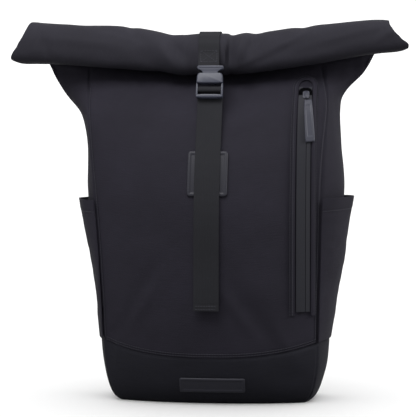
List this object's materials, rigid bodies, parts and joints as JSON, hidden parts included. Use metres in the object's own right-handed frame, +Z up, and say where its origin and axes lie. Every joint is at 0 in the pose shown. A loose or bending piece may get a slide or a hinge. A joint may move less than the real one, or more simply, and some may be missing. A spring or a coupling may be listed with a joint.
{
  "type": "rolltop backpack",
  "caption": "Upright cloth backpack with a rolled top held by one webbing strap and a side-release buckle, a long front zip pocket, open side pockets and padded shoulder straps",
  "frame": {"origin": "middle of the flat underside of the floor panel, where the backpack stands", "axes": "+Z up, -Y towards the front with the buckle, +X to the right of someone looking at the front, along the roll"},
  "size_m": [0.471, 0.2096, 0.451],
  "materials": {
    "body_cloth": "matt woven polyester, fine plain weave",
    "roll_cloth": "the same woven polyester, doubled and rolled",
    "base_cloth": "coated woven polyester, slightly darker",
    "webbing": "ribbed nylon webbing",
    "rubber_patch": "smooth matt rubber, bare",
    "coated_zip": "matt coated zip tape",
    "pull_rubber": "matt grey rubber tab",
    "buckle_plastic": "satin dark moulded plastic",
    "spacer_mesh": "padded cloth and spacer mesh"
  },
  "bodies": {
    "root": {"front_panel": "body_cloth", "back_panel": "body_cloth", "left_side_panel": "body_cloth", "right_side_panel": "body_cloth", "left_pocket": "body_cloth", "right_pocket": "body_cloth", "zip_welt": "body_cloth", "roll": "roll_cloth", "front_base_panel": "base_cloth", "back_base_panel": "base_cloth", "left_side_base_panel": "base_cloth", "right_side_base_panel": "base_cloth", "floor_panel": "base_cloth", "closing_strap": "webbing", "lower_strap": "webbing", "left_lower_webbing": "webbing", "right_lower_webbing": "webbing", "grab_handle": "webbing", "strap_patch": "rubber_patch", "base_label": "rubber_patch", "zip_tape_left": "coated_zip", "zip_tape_right": "coated_zip", "zip_pull": "pull_rubber", "zip_slider": "buckle_plastic", "buckle_female": "buckle_plastic", "buckle_male": "buckle_plastic", "left_adjuster": "buckle_plastic", "right_adjuster": "buckle_plastic", "left_back_pad": "spacer_mesh", "right_back_pad": "spacer_mesh", "left_shoulder_strap": "spacer_mesh", "right_shoulder_strap": "spacer_mesh"}
  },
  "joints": []
}
